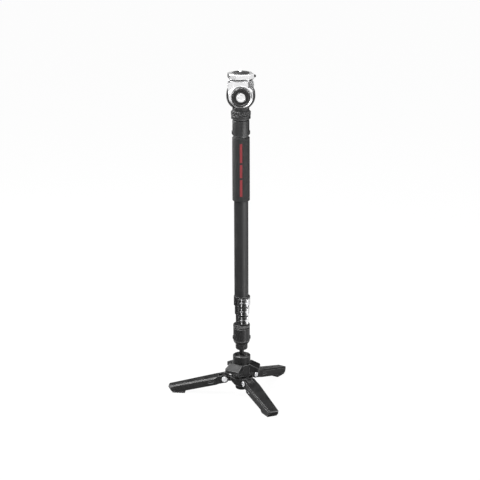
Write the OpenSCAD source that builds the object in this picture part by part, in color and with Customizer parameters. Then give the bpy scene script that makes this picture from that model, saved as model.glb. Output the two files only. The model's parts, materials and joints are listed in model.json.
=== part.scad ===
// Camera monopod: three-legged foot with a pedal-locked ball joint, four telescopic
// sections held by flip locks, foam grip and a tilt head with a quick-release clamp.
// Millimetres, +Z up. The origin is on the floor under the pole's axis.
// +X is to the right, and -Y is the front, where the tilt knob faces.

/* [Pole] */
// Outer radius of the largest tube
tube_r = 15; // [14:0.25:16]
// Step in outer radius from one tube to the next
tube_step = 2; // [1.8:0.1:2.2]
// Wall of every tube
tube_wall = 1.2; // [1:0.05:1.3]
// Length of the largest tube
tube_len = 355; // [330:1:420]
// Travel of each section
stroke = 310; // [250:1:312]

/* [Flip locks] */
// Height of a clamp collar
clamp_h = 19.6; // [18:0.2:24]
// Wall of a clamp collar round its own tube
clamp_wall = 1.4; // [1.2:0.1:2]
// Depth of the socket that holds the clamp's own tube
clamp_socket = 9; // [7:0.5:10]
// Half width of the pair of draw bolt lugs
lug_half = 7.3; // [6.5:0.1:8]
// Height of the lugs and of the lever
lever_h = 15.6; // [13:0.2:16]
// Thickness of the lever's arm
lever_t = 1.8; // [1.4:0.1:2.2]
// Radius of the lever's knuckle
knuckle_r = 3.4; // [3:0.1:3.6]
// Radius of the draw bolt
draw_r = 1.9; // [1.5:0.1:2]
// Radius of the lever pin
lever_pin_r = 1.2; // [1:0.1:1.4]

/* [Grip and collars] */
// Radius of the foam grip
grip_r = 18.3; // [17:0.1:21]
// Length of the foam grip
grip_len = 136; // [100:1:160]
// Radius of the upper release collar
upper_r = 17.7; // [17:0.1:19]
// Height of the upper release collar
upper_h = 36; // [34:0.5:44]
// Radius of the lower release collar
lower_r = 17.9; // [17.2:0.1:19]
// Height of the lower release collar
lower_h = 36.4; // [35:0.2:44]
// Height of the ferrule on the smallest tube
ferrule_h = 8; // [6:0.5:12]
// Radius of the release studs
stud_r = 11; // [10.4:0.1:11.4]
// Radius of a release button
button_r = 4.4; // [3.5:0.1:4.8]
// Rise of a release button above its collar
button_rise = 1.5; // [1:0.1:2]

/* [Head] */
// Radius of the tilt drum
drum_r = 29.9; // [28:0.1:32]
// Thickness of the tilt drum
drum_t = 24; // [20:0.5:26]
// Height of the tilt axis above the pan base
axis_h = 42; // [41:0.5:46]
// Radius of the drum's neck
neck_r = 17.6; // [16:0.1:18]
// Radius of the pan base
pan_r = 20.1; // [19:0.1:22]
// Height of the pan base
pan_h = 9.4; // [8:0.2:12]
// Radius of the pan lock ring
pan_ring_r = 20.6; // [19.6:0.1:22]
// Height of the pan lock ring
pan_ring_h = 9.2; // [7:0.2:10]
// Number of scallops round the pan lock ring
pan_scallops = 14; // [10:1:16]
// Radius of the yoke's round cheeks
cheek_r = 25.8; // [25:0.1:27]
// Thickness of a yoke cheek
cheek_t = 9; // [7:0.5:11]
// Half width of the yoke's shoulders
shoulder_half = 27.5; // [26.6:0.1:30]
// Radius of the tilt axle
axle_r = 5; // [4:0.1:6]
// Radius of the tilt knob
knob_r = 19.8; // [18:0.1:22]
// Height of the tilt knob
knob_h = 14; // [12:0.5:20]
// Number of flutes round the tilt knob
knob_flutes = 20; // [12:1:28]

/* [Quick release] */
// Width of the clamp body across its flats
qr_w = 50.8; // [48:0.2:56]
// Cut across each corner of the clamp body, along the side
qr_corner = 11.4; // [9:0.2:12]
// Turn of the clamp body on the yoke
qr_yaw = 10; // [0:1:15]
// Height of the clamp body
qr_h = 11.4; // [11:0.2:14]
// Thickness of the yoke's table below the clamp
table_t = 3; // [2.5:0.1:4]
// Radius of the camera plate
plate_r = 18.4; // [17.4:0.1:20]
// Rise of the camera plate above the clamp body
plate_rise = 1.2; // [0.8:0.1:2]
// Thickness of the rubber pad on the plate
pad_t = 1.2; // [0.8:0.1:2]
// Radius of the camera screw
screw_r = 3.175; // [3.175, 4.7625]
// Rise of the camera screw above the pad
screw_rise = 5.6; // [4:0.1:7]

/* [Ball joint] */
// Height of the ball's centre
ball_z = 74.5; // [73:0.5:80]
// Radius of the ball
ball_r = 13; // [12:0.1:13.4]
// Radius of the ball's neck
ball_neck_r = 5; // [4.6:0.1:5.6]
// Length of the neck, from the ball's centre to the bearing bowl
ball_neck_len = 26; // [25:0.5:30]
// Radius of the ball housing
housing_r = 19; // [18.6:0.1:20]
// Rise of the ball housing above the ball's centre
housing_rise = 14.2; // [13:0.1:16]
// Radius of the bearing bowl
bowl_r = 13; // [12:0.1:14]
// Height of the bearing bowl
bowl_h = 13.5; // [12:0.5:16]

/* [Foot] */
// Height of the leg pivots
pivot_z = 35; // [34:0.5:38]
// Distance of the leg pivots from the pole's axis
pivot_r = 36; // [35:0.5:40]
// Width of a hub lug
lug_w = 11; // [9:0.5:13]
// Radius of the hub's skirt
skirt_r = 24; // [22.4:0.1:25]
// Height of the hub's underside above the floor
hub_low_z = 11; // [9:0.5:14]
// Radius of the hub's bottom cap
cap_r = 13.6; // [12:0.1:15]
// Radius of the leg bolts
leg_bolt_r = 3; // [2.5:0.1:3.5]
// Radius of the leg bolt heads
leg_head_r = 6; // [5:0.1:6.5]
// Direction of the front leg
front_leg_az = -65; // [-90:1:-40]

/* [Pedals] */
// Outer radius of the pedals
pedal_r = 39; // [36:0.5:44]
// Half width of a pedal at its outer edge
pedal_half = 17.3; // [14:0.1:18]
// Height of a pedal's inner edge
pedal_z = 71; // [69:0.5:72]
// Fall of a pedal from its inner to its outer edge
pedal_fall = 9.5; // [6:0.5:11]
// Travel of the pedals
pedal_travel = 4; // [3:0.1:4.5]

/* [Legs] */
// Length of a leg from its pivot to its tip
leg_len = 125; // [110:1:130]
// Radius of the ears round the pivot, and rise of the leg's top face
ear_r = 8.5; // [8:0.1:9.5]
// Half width of a leg at its ears
ear_half = 12.6; // [12:0.1:14.5]
// Half width of a leg where it steps out
step_half = 15.6; // [15:0.1:18]
// Half width of a leg at its tip
tip_half = 12; // [11:0.1:14]
// Chamfer along a leg's top edges
leg_chamfer = 2.6; // [1.5:0.1:3]
// Length of a rubber foot
foot_len = 28; // [20:1:32]
// Thickness of a rubber foot
foot_t = 3; // [2:0.1:4]

/* [Hidden] */
$fn = 64;

// Fits: running clearance, clearance between faces that pass, and length that makes a cut run past a face
run = 0.1;
gap = 0.3;
over = 1;

// Legs: a leg droops until its foot's flat lies on the floor
leg_az = [front_leg_az + 240, front_leg_az + 120, front_leg_az];
foot_end = leg_len - 5.5;
foot_start = foot_end - foot_len;
foot_mid = (foot_start + foot_end) / 2;
heel_rise = 10.8;
leg_droop = asin(pivot_z / norm([foot_mid, heel_rise])) - atan2(heel_rise, foot_mid);
leg_wall = 3.5;
leg_low = ear_r - 0.5;
leg_slot_end = 13;
step_start = 14;
step_end = 21;
leg_bolt_half = ear_half + 1.8;
// Leg's own height of a level plane, at a distance along the leg
function level(z, x) = (z - pivot_z + x * sin(leg_droop)) / cos(leg_droop);

// Hub and ball joint, from the floor up
pedal_bore = housing_r + 0.4;
column_r = housing_r;
hub_shoulder_z = pivot_z + 5;
pedal_low_z = hub_shoulder_z + pedal_travel + 1;
seat_r = ball_r + 0.4;
seat_top = ball_z - 6;
seat_low = ball_z - 14.5;
hub_top = ball_z - 10;
spring_r = 11.5;
spring_t = 1;
spring_rise = 1.2;
spring_count = 4;
spring_low = seat_low - spring_count * (spring_t + spring_rise) - gap;
skirt_low_z = hub_low_z + 9;
lip_z = ball_z + 8;
lip_r = 9.6;
mouth_r = 14;
hub_screw_r = 4;
hub_screw_len = 12;

// Bearing bowl and lower collar
bowl_z = ball_z + ball_neck_len;
bowl_top = bowl_z + bowl_h;
lower_z = bowl_top + 0.6;
lower_top = lower_z + lower_h;
collar_edge = 2;
shaft_r = 8;
keeper_r = stud_r - 0.6;
keeper_t = 2.4;
socket_low = lower_z + 16;
socket_r = stud_r + run;
lower_button_z = lower_z + 13.4;
ferrule_top = lower_top + ferrule_h;
stud_low = socket_low + keeper_t + 2;

// Tubes and clamps, numbered from the largest: clamp k is at the foot of tube k
clamp_pitch = clamp_h + 0.4;
clamp_low = ferrule_top + 2.5;
function tube_radius(k) = tube_r - (k - 1) * tube_step;
function clamp_z(k) = clamp_low + (3 - k) * clamp_pitch;
function clamp_r(k) = tube_radius(k) + clamp_wall;
function tube_z0(k) = k == 4 ? stud_low + 4 : clamp_z(k) + clamp_h - clamp_socket;
plug_depth = 12;
tube_top = tube_z0(1) + tube_len;
function tube_z1(k) = k == 1 ? tube_top : tube_top - plug_depth - 2 - (k - 2) * clamp_pitch;
bush_h = tube_z1(2) - tube_z0(1) - stroke;
slit_w = 1.6;
lug_low = 0.6;
lug_z = lug_low + lever_h / 2;
bolt_window = 6.6;
barrel_h = 4.6;
barrel_gap = 0.8;
barrel_r = 2.6;
lever_tip_az = 70;
pin_x = lug_half + knuckle_r + 0.2;
function pin_y(k) = -(clamp_r(k) + 0.9);
function pin_az(k) = atan2(pin_y(k), pin_x);

// Upper collar and pan base
upper_z = tube_top;
upper_top = upper_z + upper_h;
upper_button_z = upper_z + 9;
upper_socket_z = upper_z + 4.5;
seam_depth = 1.8;
seam_h = 3.6;
pan_z = upper_top;
pan_top = pan_z + pan_h;
spigot_r = 8;
spigot_len = 14;
pan_screw_r = 3;
pan_head_r = 6;
pan_head_z = upper_socket_z + 2;

// Tilt head
neck_z = pan_top + gap;
axis_z = pan_top + axis_h;
neck_top = axis_z - cheek_r - gap;
disc_r = 20;
disc_t = 1.1;
cheek_in = drum_t / 2 + 0.4;
cheek_out = cheek_in + cheek_t;
knob_y = cheek_out + gap;
// Steps of a cheek's rounded outer edge: depth from the inner face, and how far it is drawn in
cheek_edge = [[0, 0], [cheek_t - 5, 0], [cheek_t - 2.6, 0.8], [cheek_t - 0.9, 2.4], [cheek_t, 4.6]];
// The same for the shoulders, which slope back from beside the knob to their sides
shoulder_edge = [[0, 0], [cheek_t - 6.8, 0], [cheek_t - 6, 1], [cheek_t - 0.6, 13]];
axle_tail = knob_y + knob_h - 5;
cap_seat_r = 9.6;
axle_head_r = 8;
axle_head_t = 4;
table_z = axis_z + drum_r + 0.7;
qr_z = table_z + table_t;
qr_top = qr_z + qr_h;
plate_seat_z = qr_top - 4;
plate_top = qr_top + plate_rise;
boss_r = 13;
boss_z = qr_z + 3.4;
pad_r = plate_r - 0.8;
pad_top = plate_top + pad_t;
screw_head_r = 8;
screw_head_t = 3;
qr_button_w = 12;
qr_button_h = 4.8;
qr_button_z = qr_z + 2.6;
qr_button_out = 3;
qr_button_in = plate_r + 1;
qr_low_in = 1.6;
qr_low_h = 1.8;
table_in = 3.8;
qr_screw_r = 2;
qr_screw_x = 9;

// Points of an arc, for revolved profiles
function arc(c, r, a0, a1, n = 8) =
  [for (i = [0 : n]) let (a = a0 + (a1 - a0) * i / n) c + r * [cos(a), sin(a)]];

module pipe(r_out, r_in, z0, z1) {
  translate([0, 0, z0])
    difference() {
      cylinder(r = r_out, h = z1 - z0);
      translate([0, 0, -over]) cylinder(r = r_in, h = z1 - z0 + 2 * over);
    }
}

module rod(r, z0, z1) {
  translate([0, 0, z0]) cylinder(r = r, h = z1 - z0);
}

// Sector of a ring between two directions
module sector(r_in, r_out, a0, a1, z0, z1) {
  rotate([0, 0, a0])
    rotate_extrude(angle = a1 - a0)
      translate([r_in, z0]) square([r_out - r_in, z1 - z0]);
}

// Turns a piece that is modelled along +Z to lie along the tilt axis, +Z to the rear
module along_tilt_axis() {
  translate([0, 0, axis_z]) rotate([-90, 0, 0]) children();
}

module at_leg(i) {
  rotate([0, 0, leg_az[i]])
    translate([pivot_r, 0, pivot_z])
      rotate([0, leg_droop, 0])
        children();
}

module at_qr() {
  rotate([0, 0, qr_yaw]) children();
}

// Foot

module base_hub() {
  color("#1d1d1f")
    difference() {
      union() {
        rotate_extrude()
          polygon([
            [0, skirt_low_z], [cap_r, skirt_low_z], [cap_r + 3, skirt_low_z + 1.4],
            [skirt_r - 2, pivot_z - 7], [skirt_r, pivot_z - 2.5], [skirt_r, hub_shoulder_z - 1],
            [skirt_r - 1, hub_shoulder_z], [column_r, hub_shoulder_z],
            [column_r, hub_top], [0, hub_top]
          ]);
        for (az = leg_az) rotate([0, 0, az]) hub_lug();
      }
      for (az = leg_az)
        rotate([0, 0, az])
          translate([pivot_r, 0, pivot_z])
            rotate([90, 0, 0])
              cylinder(r = leg_bolt_r, h = lug_w + 2 * over, center = true);
      rod(seat_r, seat_low - gap, hub_top + over);
      rod(spring_r + gap, spring_low, seat_low);
      rod(hub_screw_r, skirt_low_z - over, skirt_low_z + hub_screw_len);
    }
}

module hub_lug() {
  lug_r = ear_r - 0.4;
  translate([pivot_r, 0, pivot_z])
    rotate([90, 0, 0])
      cylinder(r = lug_r, h = lug_w, center = true);
  translate([cap_r, -lug_w / 2, pivot_z - lug_r + 2])
    cube([pivot_r - cap_r, lug_w, hub_shoulder_z - pivot_z + lug_r - 3]);
}

module hub_cap() {
  cap_round = 4;
  color("#161617")
    difference() {
      rotate_extrude()
        polygon(concat(
          [[0, skirt_low_z], [0, hub_low_z]],
          arc([cap_r - cap_round, hub_low_z + cap_round], cap_round, -90, 0),
          [[cap_r, skirt_low_z]]
        ));
      rod(hub_screw_r, hub_low_z - over, skirt_low_z + over);
      rod(hub_screw_r + 3, hub_low_z - over, hub_low_z + 5);
    }
}

module hub_screw() {
  color("#9a9ca0")
    difference() {
      union() {
        rod(hub_screw_r, hub_low_z + 5, skirt_low_z + hub_screw_len);
        rod(hub_screw_r + 2.7, hub_low_z + 1, hub_low_z + 5);
      }
      translate([0, 0, hub_low_z + 1 - over]) cylinder(r = 3.4, h = 2.6 + over, $fn = 6);
    }
}

module ball_housing() {
  rim_edge = 1.4;
  housing_top = ball_z + housing_rise;
  color("#202022")
    difference() {
      rotate_extrude()
        polygon([
          [seat_r, hub_top], [housing_r, hub_top], [housing_r, housing_top - rim_edge],
          [housing_r - rim_edge, housing_top], [mouth_r + 0.6, housing_top],
          [mouth_r, housing_top - 0.6], [lip_r, lip_z], [lip_r, ball_z], [seat_r, ball_z]
        ]);
      translate([0, 0, ball_z]) sphere(r = ball_r + run);
    }
}

module leg_bolts() {
  color("#d5d7da")
    for (az = leg_az)
      rotate([0, 0, az])
        translate([pivot_r, 0, pivot_z])
          rotate([90, 0, 0])
            leg_bolt();
}

module leg_bolt() {
  head_h = leg_bolt_half - ear_half - gap;
  difference() {
    union() {
      cylinder(r = leg_bolt_r, h = 2 * (ear_half + gap), center = true);
      for (side = [0, 1])
        mirror([0, 0, side])
          translate([0, 0, ear_half + gap])
            rotate_extrude()
              polygon([
                [0, 0], [leg_head_r, 0], [leg_head_r, head_h - 0.6], [leg_head_r - 0.6, head_h], [0, head_h]
              ]);
    }
    translate([0, 0, leg_bolt_half - 1]) cylinder(r = 2.9, h = 1 + over, $fn = 6);
  }
}

module lock_springs() {
  color("#b9bcc0")
    for (i = [0 : spring_count - 1])
      translate([0, 0, spring_low + i * (spring_t + spring_rise)])
        disc_spring(i % 2 == 0);
}

// Conical washer, rising to its rim or falling to it
module disc_spring(rim_up) {
  hole_r = 5.5;
  low = rim_up ? 0 : spring_rise;
  high = rim_up ? spring_rise : 0;
  rotate_extrude()
    polygon([[hole_r, low], [spring_r, high], [spring_r, high + spring_t], [hole_r, low + spring_t]]);
}

module leg(i) {
  color("#19191b") at_leg(i) leg_beam();
}

module leg_beam() {
  difference() {
    intersection() {
      rotate([90, 0, 0])
        linear_extrude(height = 2 * step_half + 2 * over, center = true) leg_side();
      translate([0, 0, -4 * ear_r]) linear_extrude(height = 8 * ear_r) leg_plan(0);
    }
    for (side = [0, 1]) mirror([0, side, 0]) leg_edge_cut();
    leg_channel();
    translate([-2 * ear_r, -lug_w / 2 - gap, -2 * ear_r])
      cube([2 * ear_r + leg_slot_end, lug_w + 2 * gap, 4 * ear_r]);
    rotate([90, 0, 0]) cylinder(r = leg_bolt_r + run, h = 4 * step_half, center = true);
    for (side = [0, 1]) mirror([0, side, 0]) leg_pocket();
  }
}

// Side view: round ear, parallel beam, heel cut level above the rubber foot, slanted tip
module leg_side() {
  tip_low = level(foot_t, foot_end);
  circle(r = ear_r);
  polygon([
    [0, -leg_low], [foot_start - 2, -leg_low], [foot_start - 2, level(foot_t, foot_start) + 1.6],
    [foot_start, level(foot_t, foot_start)], [foot_end, tip_low],
    [leg_len, ear_r - 1.2], [leg_len - 1, ear_r], [0, ear_r]
  ]);
}

// Plan view: ears, step-out, long taper and clipped tip corners, drawn in by a wall
module leg_plan(inset) {
  half = [
    [-ear_r, ear_half], [step_start, ear_half], [step_end, step_half],
    [leg_len - 4, tip_half], [leg_len, tip_half - 4]
  ];
  polygon(concat(
    [for (p = half) [p[0], p[1] - inset]],
    [for (i = [len(half) - 1 : -1 : 0]) [half[i][0], inset - half[i][1]]]
  ));
}

module leg_edge_cut() {
  run_x = leg_len - 4 - step_end;
  taper = atan2(tip_half - step_half, run_x);
  translate([step_end, step_half, ear_r])
    rotate([45, 0, taper])
      translate([-2 * step_end, -leg_chamfer / sqrt(2), -2 * leg_chamfer])
        cube([run_x + 4 * step_end, 4 * leg_chamfer, 4 * leg_chamfer]);
}

// Hollow of the leg, open below, between the pivot block and the heel
module leg_channel() {
  start = step_end + 4;
  intersection() {
    translate([0, 0, -4 * ear_r]) linear_extrude(height = 5 * ear_r - leg_wall) leg_plan(leg_wall);
    translate([start, -step_half, -4 * ear_r])
      cube([foot_start - 6 - start, 2 * step_half, 5 * ear_r - leg_wall]);
  }
}

// Long shallow pocket with round ends in the side of the beam, behind the step
module leg_pocket() {
  pocket_r = 2.4;
  pocket_x = [step_end + pocket_r + 3, step_end + pocket_r + 11];
  translate([0, step_half - 1.4, 0])
    rotate([-90, 0, 0])
      linear_extrude(height = step_half) {
        for (x = pocket_x) translate([x, 0]) circle(r = pocket_r);
        translate([pocket_x[0], -pocket_r]) square([pocket_x[1] - pocket_x[0], 2 * pocket_r]);
      }
}

module foot(i) {
  color("#2b2b2d")
    difference() {
      at_leg(i) foot_block();
      translate([0, 0, -2 * leg_len]) cylinder(r = 4 * leg_len, h = 2 * leg_len);
    }
}

// Rubber block under the heel, which the floor then cuts level
module foot_block() {
  inset = 1;
  intersection() {
    rotate([90, 0, 0])
      linear_extrude(height = 4 * step_half, center = true)
        polygon([
          [foot_start + 1, level(foot_t, foot_start + 1)], [foot_start, level(-over, foot_start)],
          [foot_end - 1.5, level(-over, foot_end - 1.5)], [foot_end - 0.4, level(foot_t, foot_end - 0.4)]
        ]);
    translate([0, 0, -4 * ear_r]) linear_extrude(height = 8 * ear_r) leg_plan(inset);
  }
}

module leg_left() { leg(0); }
module leg_right() { leg(1); }
module leg_front() { leg(2); }
module foot_left() { foot(0); }
module foot_right() { foot(1); }
module foot_front() { foot(2); }

// Pedals

module pedal_ring() {
  skirt_t = 4;
  flat_r = pedal_bore + 1.4;
  color("#343437")
    difference() {
      union() {
        difference() {
          rod(pedal_bore + skirt_t, pedal_low_z, pedal_z - 1.5);
          for (az = leg_az)
            rotate([0, 0, az])
              translate([flat_r, -pedal_r, pedal_low_z - over])
                cube([pedal_r, 2 * pedal_r, pedal_z]);
        }
        for (az = leg_az) rotate([0, 0, az + 60]) pedal();
      }
      rod(pedal_bore, pedal_low_z - over, pedal_z + over);
    }
}

// Sloped foot plate that widens to its outer edge
module pedal() {
  inner_r = pedal_bore - 2;
  inner_half = pedal_half - 1.7;
  edge_t = 6.4;
  low_z = pedal_z - pedal_fall;
  intersection() {
    rotate([90, 0, 0])
      linear_extrude(height = 2 * pedal_half + 2 * over, center = true)
        polygon([
          [inner_r, pedal_z], [pedal_bore + 1, pedal_z], [pedal_r - 0.8, low_z + 0.8], [pedal_r, low_z],
          [pedal_r, low_z - edge_t], [pedal_bore + 2, pedal_low_z + 8], [inner_r, pedal_low_z + 6]
        ]);
    translate([0, 0, pedal_low_z])
      linear_extrude(height = pedal_z)
        polygon([
          [0, -inner_half], [inner_r, -inner_half], [pedal_r - 2, -pedal_half], [pedal_r, -pedal_half + 2],
          [pedal_r, pedal_half - 2], [pedal_r - 2, pedal_half], [inner_r, inner_half], [0, inner_half]
        ]);
  }
}

// Ball joint

module ball_seat() {
  color("#d9d6cc")
    difference() {
      rod(seat_r - run, seat_low, seat_top);
      translate([0, 0, ball_z]) sphere(r = ball_r + run);
      rod(4, seat_low - over, ball_z);
    }
}

module ball_stud() {
  color("#3a3b3e")
    union() {
      translate([0, 0, ball_z]) sphere(r = ball_r);
      rod(ball_neck_r, ball_z, bowl_top - 4);
    }
}

module bearing_bowl() {
  color("#1c1c1e")
    difference() {
      rotate_extrude()
        polygon(concat(
          [[0, bowl_z], [ball_neck_r + 1.6, bowl_z]],
          arc([bowl_r - 4.6, bowl_z + 5], 4.6, -70, 0),
          [[bowl_r, bowl_top - 0.6], [bowl_r - 0.6, bowl_top], [shaft_r, bowl_top],
          [shaft_r, socket_low + gap], [0, socket_low + gap]]
        ));
      rod(ball_neck_r, bowl_z - over, bowl_top - 4);
    }
}

module bearing_keeper() {
  color("#b9bcc0")
    translate([0, 0, socket_low + gap])
      difference() {
        cylinder(r = keeper_r, h = keeper_t);
        translate([0, 0, keeper_t - 1.2]) cylinder(r = 3, h = 1.2 + over, $fn = 6);
      }
}

// Lower collar and smallest tube

module lower_collar() {
  low_round = 12;
  groove_z = lower_z + 7.4;
  color("#1f1f21")
    difference() {
      rotate_extrude()
        polygon(concat(
          [[shaft_r + run, lower_z]],
          arc([lower_r - low_round, lower_z + 9.2], low_round, -50, 0),
          [[lower_r, lower_top - collar_edge], [lower_r - collar_edge, lower_top], [socket_r, lower_top],
          [socket_r, socket_low], [shaft_r + run, socket_low]]
        ));
      pipe(lower_r + over, lower_r - 0.9, groove_z, groove_z + 0.7);
      for (side = [0, 180]) rotate([0, 0, side]) button_pocket(lower_r, lower_button_z);
    }
}

// Round pocket for a release button, on the +X side
module button_pocket(collar_r, z) {
  translate([socket_r + 0.9, 0, z]) rotate([0, 90, 0]) cylinder(r = button_r + run, h = collar_r);
}

// Domed release button, on the +X side
module release_button(collar_r, z) {
  dome = 1.2;
  tail = collar_r - socket_r - 0.9 - button_rise - 0.2;
  top = tail + button_rise;
  color("#252527")
    translate([collar_r - tail, 0, z])
      rotate([0, 90, 0])
        rotate_extrude()
          polygon([
            [0, 0], [button_r, 0], [button_r, top - dome],
            [button_r - 0.7, top - 0.45], [button_r - 2, top], [0, top]
          ]);
}

module lower_button_left() { rotate([0, 0, 180]) release_button(lower_r, lower_button_z); }
module lower_button_right() { release_button(lower_r, lower_button_z); }

module tube_ferrule() {
  top_round = 2.5;
  color("#232325")
    rotate_extrude()
      polygon(concat(
        [[tube_radius(4), stud_low], [stud_r - 1, stud_low], [stud_r, stud_low + 1], [stud_r, lower_top],
        [lower_r - collar_edge, lower_top], [lower_r, lower_top + collar_edge / 2]],
        arc([lower_r - top_round, ferrule_top - top_round], top_round, 0, 90),
        [[tube_radius(4), ferrule_top]]
      ));
}

// Telescopic tubes, guide bushes and clamps

module pole_tube(k) {
  color("#2c2c2e")
    pipe(tube_radius(k), tube_radius(k) - tube_wall, tube_z0(k), tube_z1(k));
}

// Plastic bush round the top of tube k + 1, which guides it in tube k
module guide_bush(k) {
  color("#c9c9c4")
    pipe(tube_radius(k) - tube_wall - run, tube_radius(k + 1), tube_z1(k + 1) - bush_h, tube_z1(k + 1));
}

module tube_1() { pole_tube(1); }
module tube_2() { pole_tube(2); }
module tube_3() { pole_tube(3); }
module tube_4() { pole_tube(4); }
module guide_bush_1() { guide_bush(1); }
module guide_bush_2() { guide_bush(2); }
module guide_bush_3() { guide_bush(3); }

// Split collar: socket for its own tube above, grip on the next tube below, rim over the lever
module clamp(k) {
  r = clamp_r(k);
  rim_z = lug_low + lever_h + gap;
  bolt_y = pin_y(k);
  color("#1b1b1d")
    translate([0, 0, clamp_z(k)])
      difference() {
        union() {
          rod(r, 0, clamp_h);
          sector(r - 1, r + lever_t + 0.4, -62, lever_tip_az, rim_z, clamp_h - 0.6);
          translate([-lug_half, bolt_y - knuckle_r, lug_low])
            cube([2 * lug_half, -bolt_y - tube_radius(k + 1) + knuckle_r, lever_h]);
        }
        rod(tube_radius(k + 1) + run, -over, clamp_h);
        rod(tube_radius(k), clamp_h - clamp_socket, clamp_h + over);
        translate([-slit_w / 2, -2 * r, -over]) cube([slit_w, 2 * r, clamp_h + 2 * over]);
        translate([0, bolt_y, lug_z])
          rotate([0, 90, 0]) cylinder(r = draw_r, h = 4 * lug_half, center = true);
        translate([-lug_half - over, bolt_y, lug_z]) rotate([0, 90, 0]) cylinder(r = 2.9, h = over + 2);
        translate([-bolt_window / 2, bolt_y - knuckle_r - over, lug_z - bolt_window / 3])
          cube([bolt_window, knuckle_r + over, bolt_window * 2 / 3]);
      }
}

// Draw bolt with its barrel, and the lever's pin through the barrel
module clamp_bolt(k) {
  color("#d9dbde")
    translate([0, pin_y(k), clamp_z(k) + lug_z]) {
      difference() {
        union() {
          translate([-lug_half + 0.6, 0, 0])
            rotate([0, 90, 0]) cylinder(r = draw_r, h = lug_half + pin_x - 0.6);
          translate([-lug_half + 0.4, 0, 0]) rotate([0, 90, 0]) cylinder(r = 2.8, h = 1.6);
          translate([pin_x, 0, 0]) cylinder(r = barrel_r, h = barrel_h, center = true);
        }
        translate([pin_x, 0, 0]) cylinder(r = lever_pin_r, h = 2 * barrel_h, center = true);
      }
      translate([pin_x, 0, 0]) cylinder(r = lever_pin_r, h = lever_h - 0.4, center = true);
    }
}

// Lever: knuckle on its pin, arm round the collar and a thumb tab at its end
module lever(k) {
  arm_inset = 0.4;
  color("#d4d6d8")
    translate([0, 0, clamp_z(k) + lug_low])
      difference() {
        union() {
          translate([pin_x, pin_y(k), 0]) cylinder(r = knuckle_r, h = lever_h);
          translate([0, 0, arm_inset]) linear_extrude(height = lever_h - 2 * arm_inset) lever_arm(k);
        }
        translate([pin_x, pin_y(k), -over]) cylinder(r = lever_pin_r + run, h = lever_h + 2 * over);
        translate([pin_x, pin_y(k), (lever_h - barrel_h) / 2 - barrel_gap])
          cylinder(r = knuckle_r + 1.2, h = barrel_h + 2 * barrel_gap);
      }
}

module lever_arm(k) {
  r_in = clamp_r(k) + 0.4;
  r_out = r_in + lever_t;
  start = pin_az(k) + 7;
  polygon(concat(
    arc([0, 0], r_in, start, lever_tip_az, 24),
    arc([0, 0], r_out + 1.4, lever_tip_az, lever_tip_az - 5, 2),
    arc([0, 0], r_out, lever_tip_az - 14, start, 20)
  ));
}

module clamp_1() { clamp(1); }
module clamp_2() { clamp(2); }
module clamp_3() { clamp(3); }
module clamp_1_bolt() { clamp_bolt(1); }
module clamp_2_bolt() { clamp_bolt(2); }
module clamp_3_bolt() { clamp_bolt(3); }
module lever_1() { lever(1); }
module lever_2() { lever(2); }
module lever_3() { lever(3); }

// Grip and upper collar

module grip() {
  end_round = 1.6;
  grip_top = tube_top - 0.5;
  grip_low = grip_top - grip_len;
  color("#3b3b3d")
    rotate_extrude()
      polygon(concat(
        [[tube_r, grip_low]],
        arc([grip_r - end_round, grip_low + end_round], end_round, -90, 0, 4),
        arc([grip_r - end_round, grip_top - end_round], end_round, 0, 90, 4),
        [[tube_r, grip_top]]
      ));
}

module upper_collar() {
  plug_r = tube_r - tube_wall;
  plug_z = upper_z - plug_depth;
  color("#242426")
    difference() {
      rotate_extrude()
        polygon([
          [0, plug_z], [plug_r - 0.8, plug_z], [plug_r, plug_z + 0.8], [plug_r, upper_z],
          [upper_r - seam_depth, upper_z], [upper_r - seam_depth, upper_z + seam_h - 1],
          [upper_r, upper_z + seam_h], [upper_r, upper_top - collar_edge],
          [upper_r - collar_edge, upper_top], [socket_r, upper_top],
          [socket_r, upper_socket_z], [0, upper_socket_z]
        ]);
      for (side = [0, 180]) rotate([0, 0, side]) button_pocket(upper_r, upper_button_z);
    }
}

module upper_button_left() { rotate([0, 0, 180]) release_button(upper_r, upper_button_z); }
module upper_button_right() { release_button(upper_r, upper_button_z); }

// Pan base: flange on the collar, release stud below it
module pan_base() {
  stud_end = upper_socket_z + gap;
  color("#202022")
    difference() {
      rotate_extrude()
        polygon([
          [0, stud_end], [stud_r - 1, stud_end], [stud_r, stud_end + 1], [stud_r, pan_z],
          [upper_r - collar_edge, pan_z], [upper_r - collar_edge, pan_z + 1], [pan_r - 0.8, pan_z + 1.6],
          [pan_r, pan_z + 2.4], [pan_r, pan_top - 0.8], [pan_r - 0.8, pan_top], [0, pan_top]
        ]);
      rod(spigot_r + run, pan_top - spigot_len - gap, pan_top + over);
      rod(pan_screw_r + run, stud_end - over, pan_top);
      rod(pan_head_r + gap, stud_end - over, pan_head_z + 3 + run);
    }
}

// Screw that holds the drum's spigot down in the pan base
module pan_screw() {
  color("#b9bcc0")
    difference() {
      union() {
        rod(pan_screw_r, pan_head_z, pan_top);
        rod(pan_head_r, pan_head_z, pan_head_z + 3);
      }
      translate([0, 0, pan_head_z - over]) cylinder(r = 2.9, h = 2 + over, $fn = 6);
    }
}

module pan_lock_ring() {
  low = neck_z + 0.2;
  high = low + pan_ring_h;
  slope = 2;
  scallop_r = 5;
  scallop_depth = 1;
  color("#2a2a2c")
    difference() {
      rotate_extrude()
        polygon([
          [neck_r + run, low], [pan_ring_r - 0.6, low], [pan_ring_r, low + 0.6], [pan_ring_r, high - slope],
          [pan_ring_r - slope, high], [neck_r + run, high]
        ]);
      for (i = [0 : pan_scallops - 1])
        rotate([0, 0, (i + 0.5) * 360 / pan_scallops])
          translate([pan_ring_r + scallop_r - scallop_depth, 0, low + 2.4])
            cylinder(r = scallop_r, h = pan_ring_h);
    }
}

// Tilt head

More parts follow.
